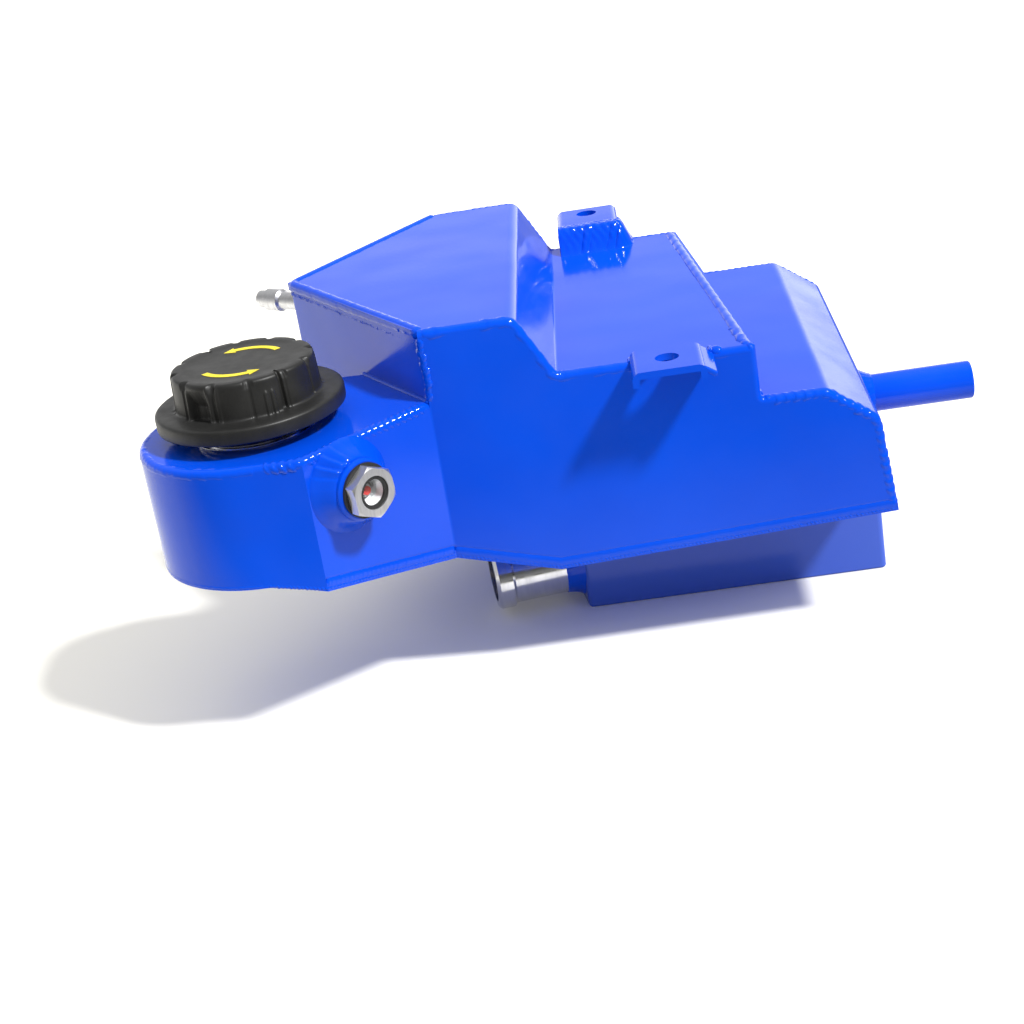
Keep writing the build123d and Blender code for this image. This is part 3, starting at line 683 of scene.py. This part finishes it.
class RESERVOIR_OT_seams(bpy.types.Operator):
    """Lays the weld beads along the tank's corners"""

    bl_idname = "reservoir.seams"
    bl_label = "Tank seams"

    def execute(self, context):
        r = context.scene.reservoir_sizes.seam_radius / MM
        inset = r - 0.1
        front = edge_line(FRONT_TOP, 0.0, 1.0, inset)
        weld("seam_front_top", front, (0, -1, 1), r, r, rib=0.24, pitch=2.2, seed=2, vary=0.8)
        front_low = edge_line([(STEP_FRONT_X + 1.5, STEP_FOOT_Z)] + LOW_TOP, 0.0, 1.0, inset)
        weld("seam_front_right", front_low, (0.5, -1, 0.6), r, r, rib=0.42, pitch=1.2, seed=3)
        back = edge_line(BACK_TOP, DEPTH, -1.0, inset)
        weld("seam_back_top", back, (0, 1, 1), r, r, rib=0.25, seed=4)
        back_low = edge_line([(STEP_BACK_X + 1.5, STEP_FOOT_Z)] + LOW_TOP, DEPTH, -1.0, inset)
        weld("seam_back_right", back_low, (0.5, 1, 0.6), r, r, rib=0.3, seed=5)
        self.left_seams()
        top = step_line(-2.2, (1.5, DEPTH - 1.5), STEP_TOP_Z - 1.7)
        weld("seam_step_top", top, (0.75, 0, 1), 2.9, 2.1, rib=0.14, pitch=3.0, seed=7, bow=0.5)
        crest = step_line(-2.4, (4.0, 24.0), STEP_TOP_Z - 1.75)
        weld("weld_step_front", crest, (0.6, 0, 1), 3.0, 2.15, rib=0.42, pitch=2.5, seed=71, bow=0.6,
             sway=0.12)
        foot = step_line(0.4, (3.0, DEPTH - 3.0), STEP_FOOT_Z + 0.3)
        weld("seam_step_foot", foot, (1, 0, 1), 1.1, 1.1, rib=0.08, seed=8)
        for number, (x, y, z, half) in enumerate(WELD_SPOTS):
            spot = [at(x - half, y, z), at(x + half, y, z)]
            weld("weld_spot_%d" % (number + 1), spot, (0.1, -1, 0.8), 1.9, 1.5, sink=0.7, rib=0.10,
                 pitch=1.3, seed=70 + number)
        return {"FINISHED"}

    def left_seams(self):
        """Rounded edge over the left wall, the ragged joint under it and the corner to the front."""
        round_z = HIGH_TOP_Z - 1.6
        wall = [at(1.4, 1.8, round_z), at(LEFT_CORNER[0] + 1.8, LEFT_CORNER[1], round_z),
                at(BACK_CORNER_X, DEPTH - 2.0, round_z)]
        weld("seam_left_top", eased(wall, 3 * MM), (-0.8, -0.2, 1), 2.3, 2.3, rib=0.04, seed=6)
        rough_z = HIGH_TOP_Z - 4.6
        rough = [at(0.0, 0.6, rough_z), at(LEFT_CORNER[0], LEFT_CORNER[1], rough_z + 0.6),
                 at(BACK_CORNER_X, DEPTH - 0.6, rough_z)]
        weld("seam_left_rough", eased(rough, 3 * MM), (-1, -0.1, 0.2), 0.7, 0.6, sink=0.38, rib=0.28,
             pitch=0.6, seed=61, sway=0.4)
        corner = [at(0.3, 1.0, HIGH_TOP_Z - 2.4), at(0.3, 1.0, POD_TOP_Z - 0.5)]
        weld("seam_left_front", corner, (-0.75, -0.66, 0), 1.7, 1.4, sink=0.3, rib=0.32, pitch=0.9,
             seed=62, sway=0.45)


class RESERVOIR_OT_pod_seams(bpy.types.Operator):
    """Lays the weld beads round the pod and along the sight panel"""

    bl_idname = "reservoir.pod_seams"
    bl_label = "Pod seams"

    def execute(self, context):
        r = context.scene.reservoir_sizes.seam_radius / MM
        inset = r - 0.1
        level = POD_TOP_Z - inset
        upright = Vector((0, 0, 1))
        panel_top = []
        for t in (0.015, 1.0):
            p = Vector((PANEL_END[0] * t, PANEL_END[1] * t, 0)) - PANEL_OUT * inset
            panel_top.append(at(p.x, p.y, level))
        panel_top.append(at(-57.0, PANEL_END[1] + inset, level))
        weld("seam_panel_top", eased(panel_top, 2 * MM), PANEL_OUT + upright, r, r, rib=0.55, seed=11,
             vary=0.1)

        def rim_up(place):
            return (from_pod(place).normalized() + upright).normalized()

        rim = [(-56.5, PANEL_END[1] + inset)] + pod_arc(POD_RADIUS - inset, -90, -1)
        rim.append((-28.0, POD[1] + POD_RADIUS - inset))
        weld("seam_pod_rim", [at(x, y, level) for x, y in rim], rim_up, r, r, rib=0.05, seed=12)
        foot = [at(-0.3, 0.1, POD_TOP_Z + 0.15), at(-27.2, 43.2, POD_TOP_Z + 0.15)]
        weld("seam_wall_foot", foot, (-0.8, -0.5, 1), 0.75, 0.75, rib=0.05, seed=13)
        return {"FINISHED"}


class RESERVOIR_OT_floor_seams(bpy.types.Operator):
    """Lays the weld beads round the tank's floor and the sump"""

    bl_idname = "reservoir.floor_seams"
    bl_label = "Floor seams"

    def execute(self, context):
        def pod_up(place):
            return (from_pod(place) + Vector((0, 0, -0.04))).normalized()

        pod_end = POD_STEPS + 2
        edge = [at(x, y, floor_z(x) + 0.95) for x, y in floor_outline(0.9)]
        weld("edge_pod_floor", edge[:pod_end], pod_up, 1.0, 1.0, rib=0.07, seed=21)
        weld("edge_front_floor", edge[pod_end - 1:], (0.1, -1, -0.8), 1.0, 1.0, rib=0.22, pitch=0.5,
             seed=22)
        beads = [at(x, y, floor_z(x) + SHEET) for x, y in floor_outline(0.0)]
        weld("seam_panel_floor", beads[pod_end:pod_end + 11], PANEL_OUT, 2.4, 1.0, sink=0.80, rib=0.12,
             pitch=0.7, seed=26)
        ends = [at(x, 0.0, floor_z(x) + 2.6) for x in (-0.8, 20.0, 37.2, 60.0, 100.0, 140.0, 160.3)]
        weld("seam_front_floor", ends, (0, -1, 0), 2.6, 1.0, sink=0.80, rib=0.05, pitch=1.2, seed=27)
        right = [at(159.9, y, 45.6) for y in (1.5, DEPTH - 1.5)]
        weld("edge_right_floor", right, (1, 0, -0.5), 1.0, 1.0, rib=0.10, seed=23)
        joint_right = [at(160.55, y, 47.7) for y in (1.5, DEPTH - 1.5)]
        weld("seam_right_floor", joint_right, (1, 0, 0.1), 1.5, 1.0, sink=0.5, rib=0.3, seed=28)
        back_x = (159.9, 140, 100, 60, 44, 37.2, 30, 20, 10, -0.3)
        back = [at(x, DEPTH - 0.9, floor_z(x) + 0.95) for x in back_x]
        weld("edge_back_floor", back, (0, 1, -0.8), 1.0, 1.0, rib=0.10, seed=24)
        joint_back = [at(x, DEPTH, floor_z(x) + SHEET) for x in back_x]
        weld("seam_back_floor", joint_back, (0, 1, 0), 1.5, 1.0, sink=0.5, rib=0.32, seed=29)
        sump_top = [at(x, 46.9, floor_z(x) - 0.2) for x in (44.5, 80, 120, 160.3)]
        weld("seam_sump_front", sump_top, (0, -1, -1), 1.8, 1.6, rib=0.3, seed=31)
        return {"FINISHED"}


class RESERVOIR_OT_fitting_welds(bpy.types.Operator):
    """Lays the weld beads round the sight glass, peg, outlet, spigot and tabs"""

    bl_idname = "reservoir.fitting_welds"
    bl_label = "Fitting welds"

    def rear_mound(self, sizes):
        """Wide rippled weld that ramps up over the rear tab's front and right edge."""
        rng = random.Random(51)
        left, right, front, level = REAR_TAB
        base = STEP_TOP_Z - 0.3
        x0, x1, y0, y1 = left + 0.3, right + 6.2, front - 8.0, front + 8.4
        columns, rows = 132, 78
        phases = [rng.uniform(0.35, 1.35) for _ in range(8)]
        points = []
        for j in range(rows + 1):
            y = y0 + (y1 - y0) * j / rows
            over = level + 0.75 - 1.1 * max(0.0, (y - front - 4.0) / 4.4)
            for i in range(columns + 1):
                x = x0 + (x1 - x0) * i / columns
                beside = max(0.0, x - right + 1.0) / 6.6
                ahead = max(0.0, front + 0.6 - y) / 8.0
                t = min(1.0, math.hypot(beside, ahead))
                rise = (1 - t) ** 1.15 * (1 + 0.55 * math.sin(math.pi * t))
                bend = 1.3 * math.sin(0.5 * x + 1.0) + 0.8 * math.sin(0.6 * y)
                wave = (x - 0.5 * (y - y1) - x0 + bend) / 5.2
                crest = math.sin(math.pi * (wave - math.floor(wave))) ** 0.7
                fold = (crest * phases[int(wave) % 8] - 0.5) * (0.35 + 0.9 * t)
                edge = max(0.0, min(1.0, (1 - t) * 3.0, (y1 - y) / 3.0 + 0.15, (x - x0) / 2.0 + 0.1))
                push = 0.95 * sizes.ripple_depth * fold * edge
                fine = 0.16 * math.sin(1.9 * x + 0.6 * y + 3.0 * math.sin(0.7 * y)) * edge
                z = base + (over - base) * rise
                points.append(at(x, y - 0.55 * push, z + 0.8 * push + fine))
        wide = columns + 1
        faces = []
        for j in range(rows):
            for i in range(columns):
                a = j * wide + i
                faces.append((a, a + 1, a + wide + 1, a + wide))
        rim = list(range(wide)) + [(j + 1) * wide - 1 for j in range(1, rows + 1)]
        rim += [rows * wide + i for i in range(columns - 1, -1, -1)]
        rim += [j * wide for j in range(rows - 1, 0, -1)]
        start = len(points)
        for k in rim:
            points.append(Vector((points[k].x, points[k].y, (STEP_TOP_Z - 0.8) * MM)))
        for k in range(len(rim)):
            n = (k + 1) % len(rim)
            faces.append((rim[k], start + k, start + n, rim[n]))
        coated_piece("weld_rear_tab", points, faces)

    def side_flange(self):
        """Turned-down flange on the right side of the front tab."""
        section = ((-1.2, 116.6), (3.6, 113.4), (2.6, 111.6), (-1.6, 114.4))
        strip = [at(FRONT_TAB_RIGHT_X + x, FRONT_TAB_FRONT_Y, z) for x, z in section]
        back = Vector((0, FRONT_TAB_RUN * MM, 0))
        points = strip + [p + back for p in strip]
        faces = [(3, 2, 1, 0), (4, 5, 6, 7), (0, 1, 5, 4), (1, 2, 6, 5), (2, 3, 7, 6), (3, 0, 4, 7)]
        coat = bpy.data.materials["blue_powder_coat"]
        flange = mesh_piece("tab_side_flange", points, faces, coat, smooth=False)
        soften = flange.modifiers.new("soft_edges", "BEVEL")
        soften.width = 0.7 * MM
        soften.segments = 3
        ride_as(flange, "tank", "blue_coat")

    def execute(self, context):
        upright = Vector((0, 0, 1))
        sight = PANEL_RUN * SIGHT_ALONG
        rough_side = (upright + PANEL_RUN * 0.55).normalized()

        def bung_force(out):
            return 0.03 + 1.5 * max(0.0, out.dot(rough_side)) ** 10

        collar("weld_sight_bung", at(sight.x, sight.y, SIGHT_Z), PANEL_OUT, BUNG_WELD, 24, 1.0, 31,
               strong=bung_force)
        collar("weld_peg", at(*PEG_ROOT), Vector((1, 0, 0)), PEG_WELD, 20, 0.3, 32)
        sideways = OUTLET_OUT.cross(upright).normalized()
        collar("weld_outlet", at(*OUTLET_ROOT), OUTLET_OUT, OUTLET_WELD, 26, 0.22, 33,
               narrow=(sideways, 0.3))
        collar("weld_spigot", at(*SPIGOT_ROOT), SPIGOT_OUT, SPIGOT_WELD, 12, 0.25, 34)
        self.rear_mound(context.scene.reservoir_sizes)
        self.side_flange()
        for number, (x, ya, yb, z, half) in enumerate(TAB_WELDS):
            side = (-1 if x < FRONT_TAB_RIGHT_X else 1, 0, 1)
            weld("weld_front_tab_%d" % (number + 1), [at(x, ya, z), at(x, yb, z)], side, half, half,
                 rib=0.3, pitch=0.9, seed=41 + number)
        return {"FINISHED"}


class RESERVOIR_OT_screw_cap(bpy.types.Operator):
    """Builds the cap's shell and turn arrows, the neck's thread and the relief valve's spring"""

    bl_idname = "reservoir.screw_cap"
    bl_label = "Screw cap"

    def thread(self, sizes, centre):
        """Filler neck with its screw thread, open through the middle."""
        pitch = sizes.thread_pitch / MM
        foot = [(NECK_BORE, NECK_FOOT_Z), (NECK_COLLAR, NECK_FOOT_Z),
                (NECK_COLLAR, NECK_COLLAR_Z - 0.3), (NECK_COLLAR - 0.3, NECK_COLLAR_Z),
                (20.0, NECK_COLLAR_Z)]
        rows = [[pair] * NECK_COLUMNS for pair in foot]
        for j in range(1, THREAD_STEPS):
            z = NECK_COLLAR_Z + (NECK_RIM_Z - 0.5 - NECK_COLLAR_Z) * j / THREAD_STEPS
            ease = max(0.0, min(1.0, (z - NECK_COLLAR_Z - 2.0) / 1.5, (NECK_RIM_Z - 0.8 - z) / 1.2))
            row = []
            for i in range(NECK_COLUMNS):
                part = (z / pitch - i / NECK_COLUMNS) % 1.0
                flank = min(1.0, max(0.0, (0.5 - abs(part - 0.5)) * 4.4 - 0.75))
                row.append((NECK_ROOT + THREAD_HEIGHT * flank * ease, z))
            rows.append(row)
        rim = [(19.8, NECK_RIM_Z - 0.4), (19.4, NECK_RIM_Z), (18.3, NECK_RIM_Z),
               (NECK_BORE, NECK_RIM_Z - 0.3)]
        rows += [[pair] * NECK_COLUMNS for pair in rim]
        neck = turned_piece("threaded_neck", rows, centre, "polished_tube", ends=False, loop=True)
        ride_as(neck, "tank", "bare_aluminium", "filler_neck")

    def spring(self, centre):
        """Relief valve's coil spring, wound to fill the height of the frame's spring."""
        low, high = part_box("valve_spring")
        wire = SPRING_WIRE * MM
        bottom, top = low[2] + wire, high[2] - wire
        steps = SPRING_TURNS * SPRING_STEPS
        points = []
        for i in range(steps + 1):
            a = 2 * math.pi * i / SPRING_STEPS
            z = bottom + (top - bottom) * i / steps
            out = Vector((math.cos(a), math.sin(a), 0.0))
            for k in range(SPRING_SIDES):
                turn = 2 * math.pi * k / SPRING_SIDES
                lift = Vector((0, 0, z + wire * math.sin(turn)))
                points.append(centre + out * (SPRING_COIL * MM + wire * math.cos(turn)) + lift)
        faces = ring_faces(steps + 1, SPRING_SIDES, flip=True)
        coil_mesh = mesh_piece("relief_spring", points, faces, bpy.data.materials["drawn_wire"])
        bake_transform(coil_mesh)
        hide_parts("valve_spring")

    def arrows(self, centre, top):
        """Two plain turn arrows on the cap's top."""
        points, faces = [], []
        low, high = (top - 0.34) * MM, (top - 0.16) * MM
        bow = ARROW_STEPS * ARROW_STEP
        head = ((11.9, bow), (14.6, bow + 16.0), (17.3, bow))
        for start in ARROW_STARTS:
            outline = [(ARROW_INNER, start + ARROW_STEP * i) for i in range(ARROW_STEPS + 1)]
            outline += [(radius, start + angle) for radius, angle in head]
            outline += [(ARROW_OUTER, start + bow - ARROW_STEP * i) for i in range(ARROW_STEPS + 1)]
            for z in (low, high):
                for radius, angle in outline:
                    a = math.radians(angle)
                    x = centre.x + radius * MM * math.cos(a)
                    points.append((x, centre.y + radius * MM * math.sin(a), z))
            count = len(outline)
            first = len(points) - 2 * count
            upper = first + count
            for i in range(ARROW_STEPS):
                a, b = upper + i, upper + count - 1 - i
                faces.append((a, a + 1, b - 1, b)[::-1])
            tip = upper + ARROW_STEPS + 2
            faces.append((tip - 1, tip, tip + 1)[::-1])
            for i in range(count):
                n = (i + 1) % count
                faces.append((first + i, first + n, upper + n, upper + i)[::-1])
        ink = bpy.data.materials["mark_print"]
        marks = mesh_piece("turn_arrows", points, faces, ink, smooth=False)
        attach(marks, "shell")

    def shell(self, sizes, centre, top, flange_z):
        """Cap's shell: top, notched grip with its scoops, wide flange and plain inside."""
        flange_top = flange_z + FLANGE_HEIGHT
        ceiling = top - CAP_WALL
        notch = math.degrees(sizes.lobe_turn)

        def length(degrees):
            """Length along the grip of an angle."""
            return degrees * math.pi / 180 * GRIP_MIDDLE

        def grip(angle, z):
            """Radius of the grip at an angle in degrees and a level."""
            down = top - z
            turn = (angle - notch) % LOBE
            lobe = int(((angle - notch) % 360.0) // LOBE)
            arc = length(min(turn, LOBE - turn))
            radius = GRIP_RADIUS + 0.6 * down / 13.0
            radius += 0.62 * math.sin(math.pi * turn / LOBE) ** 0.75
            at_top = max(0.0, 1 - down / 3.0)
            radius -= 1.1 * at_top * min(1.0, max(0.0, (1.9 - arc) / 0.8))
            radius -= 0.3 * max(0.0, min(1.0, (0.9 - arc) / 0.35))
            mark = int(round((angle - notch) / LOBE)) % 12
            shift = (angle - notch + LOBE / 2) % LOBE - LOBE / 2
            if mark in (4, 10):
                deep = length(abs(shift + 3.5))
                radius -= 2.0 * max(0.0, min(1.0, (1.25 - deep) / 0.45))
            if mark in (2, 6, 8, 0):
                ridge = length(abs(abs(shift) - 4.2))
                radius += 0.35 * max(0.0, min(1.0, (0.9 - ridge) / 0.4)) * min(1.0, down / 2.0)
            if lobe in (1, 7):
                depth = min(1.0, max(0.0, (down - 1.6) / 6.5))
                side = min(1.0, max(0.0, (turn - 3.0) / 4.0), max(0.0, (29.0 - turn) / 11.0))
                radius -= 2.9 * depth * side * side * (3 - 2 * side)
            if lobe in (3, 9):
                for middle in (12.2, 17.5):
                    near = length(abs(turn - middle))
                    below = min(1.0, max(0.0, (down - 4.4 - 0.8 * near) / 0.6))
                    radius += 0.55 * below * max(0.0, min(1.0, (0.85 - near) / 0.3))
            return radius

        angles = [360.0 * i / CAP_COLUMNS for i in range(CAP_COLUMNS)]

        def grip_row(z, wider=0.0):
            """Points round the grip at a level, moved outward by a length."""
            return [(grip(a, z) + wider, z) for a in angles]

        plate = [(0.02, top - 0.30), (9.0, top - 0.30), (17.0, top - 0.28), (20.6, top - 0.20),
                 (21.8, top - 0.04)]
        edge = [(1.25, 0.0), (0.75, 0.10), (0.35, 0.35), (0.10, 0.75), (0.0, 1.25)]
        flange = [
            (28.0, flange_top), (31.0, flange_top - 0.05), (32.7, flange_top - 0.1),
            (33.3, flange_top - 0.22), (33.75, flange_top - 0.55), (33.95, flange_top - 1.0),
            (FLANGE_RADIUS, flange_top - 1.5), (FLANGE_RADIUS, flange_z + 0.7),
            (33.85, flange_z + 0.25), (33.4, flange_z), (31.6, flange_z), (31.4, flange_z + 0.3),
            (31.4, flange_top - 2.6), (24.3, flange_top - 2.6), (24.1, flange_top - 2.9),
            (24.1, flange_z + 0.3), (23.8, flange_z), (21.8, flange_z), (21.5, flange_z + 0.3),
            (21.5, ceiling), (4.0, ceiling), (4.0, ceiling - 3.2), (5.2, ceiling - 3.7),
            (4.4, ceiling - 5.4), (0.02, ceiling - 5.4),
        ]
        rows = [[pair] * CAP_COLUMNS for pair in plate]
        rows += [grip_row(top - down, -inset) for inset, down in edge]
        rows += [grip_row(top - (1.25 + (top - flange_top - 2.2) * i / 24)) for i in range(1, 25)]
        rows += [grip_row(flange_top + 0.35, 0.22), grip_row(flange_top + 0.05, 0.85)]
        rows += [[pair] * CAP_COLUMNS for pair in flange]
        piece = turned_piece("grip_cap", rows, centre, "cap_plastic", flip=True)
        ride_as(piece, "shell", "cap_black", "cap_shell")

    def execute(self, context):
        sizes = context.scene.reservoir_sizes
        low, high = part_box("cap_shell")
        centre = at(*POD, 0)
        top = high[2] / MM
        self.thread(sizes, centre)
        self.arrows(centre, top)
        self.spring(centre)
        self.shell(sizes, centre, top, low[2] / MM)
        return {"FINISHED"}


class RESERVOIR_OT_stage(bpy.types.Operator):
    """Sets the floor, the studio light and the camera"""

    bl_idname = "reservoir.stage"
    bl_label = "Stage"

    def room(self, scene, stage):
        """Room light: soft from overhead, white to the camera, and darker ahead and right in gloss."""
        world = bpy.data.worlds.new("studio_room")
        scene.world = world
        world.use_nodes = True
        tree = world.node_tree
        place = add_split(tree, "Generated")
        behind = add_range(tree, place["Y"], 0.12, 1.0, -0.35, 0.35)
        aside = add_range(tree, place["X"], 1.0, 0.08, 0.4, 0.7)
        overhead = add_range(tree, place["Z"], 0.22, stage.sky, 0.0, 1.0)
        band = tree.nodes.new("ShaderNodeValToRGB")
        ramp = band.color_ramp
        ramp.elements.new(ROOM_BANDS[1][0])
        for stop, (start, level) in zip(ramp.elements, ROOM_BANDS):
            stop.position = start
            stop.color = (level, level, level, 1.0)
        tree.links.new(place["Z"], band.inputs[0])
        shine = add_product(tree, behind, band.outputs[0])
        shine = add_product(tree, add_product(tree, shine, aside), stage.shine)
        path = tree.nodes.new("ShaderNodeLightPath")
        glossy = add_blend(tree, path.outputs["Is Glossy Ray"], overhead, shine, "FLOAT")
        seen = add_blend(tree, path.outputs["Is Camera Ray"], glossy, 1.0, "FLOAT")
        feed_all(tree, tree.nodes["Background"], {"Color": (1.0, 1.0, 1.0), "Strength": seen})

    def execute(self, context):
        scene = context.scene
        stage = scene.reservoir_stage
        far = FLOOR_REACH
        corners = [(-far, -far, 0), (far, -far, 0), (far, far, 0), (-far, far, 0)]
        finish = floor_finish(stage)
        floor = mesh_piece("studio_floor", corners, [(0, 1, 2, 3)], finish, smooth=False)
        self.room(scene, stage)

        lamp = bpy.data.lights.new("key_light", "SUN")
        lamp.energy = stage.key
        lamp.angle = stage.key_angle
        key = bpy.data.objects.new("key_light", lamp)
        toward = Vector(LIGHT_FROM).normalized()
        key.rotation_euler = toward.to_track_quat("Z", "Y").to_euler()
        key.location = toward
        scene.collection.objects.link(key)

        lens = bpy.data.cameras.new("photo_camera")
        lens.sensor_width = CAMERA_SENSOR
        lens.lens = CAMERA_LENS
        lens.clip_start = 0.01
        camera = bpy.data.objects.new("photo_camera", lens)
        camera.location = CAMERA_PLACE
        camera.rotation_euler = tuple(math.radians(a) for a in CAMERA_TURN)
        scene.collection.objects.link(camera)
        scene.camera = camera
        scene.view_settings.view_transform = "Standard"
        return {"FINISHED"}


class RESERVOIR_PT_panel(bpy.types.Panel):
    """Lists the reservoir's pieces and sizes"""

    bl_label = "Coolant reservoir"
    bl_idname = "RESERVOIR_PT_panel"
    bl_space_type = "VIEW_3D"
    bl_region_type = "UI"
    bl_category = "Reservoir"

    def draw(self, context):
        layout = self.layout
        for operator in OPERATORS:
            layout.operator(operator.bl_idname)
        scene = context.scene
        for group in (scene.reservoir_sizes, scene.reservoir_colours, scene.reservoir_stage):
            box = layout.box()
            for name in group.__annotations__:
                box.prop(group, name)


OPERATORS = (
    RESERVOIR_OT_frame_finishes,
    RESERVOIR_OT_seams,
    RESERVOIR_OT_pod_seams,
    RESERVOIR_OT_floor_seams,
    RESERVOIR_OT_fitting_welds,
    RESERVOIR_OT_screw_cap,
    RESERVOIR_OT_stage,
)
CLASSES = (ReservoirSizes, ReservoirColours, ReservoirStage) + OPERATORS + (RESERVOIR_PT_panel,)


def register():
    for cls in CLASSES:
        bpy.utils.register_class(cls)
    bpy.types.Scene.reservoir_sizes = bpy.props.PointerProperty(type=ReservoirSizes)
    bpy.types.Scene.reservoir_colours = bpy.props.PointerProperty(type=ReservoirColours)
    bpy.types.Scene.reservoir_stage = bpy.props.PointerProperty(type=ReservoirStage)


def unregister():
    del bpy.types.Scene.reservoir_stage
    del bpy.types.Scene.reservoir_colours
    del bpy.types.Scene.reservoir_sizes
    for cls in reversed(CLASSES):
        bpy.utils.unregister_class(cls)


def main():
    register()
    for operator in OPERATORS:
        group, name = operator.bl_idname.split(".")
        getattr(getattr(bpy.ops, group), name)()


if __name__ == "__main__":
    main()
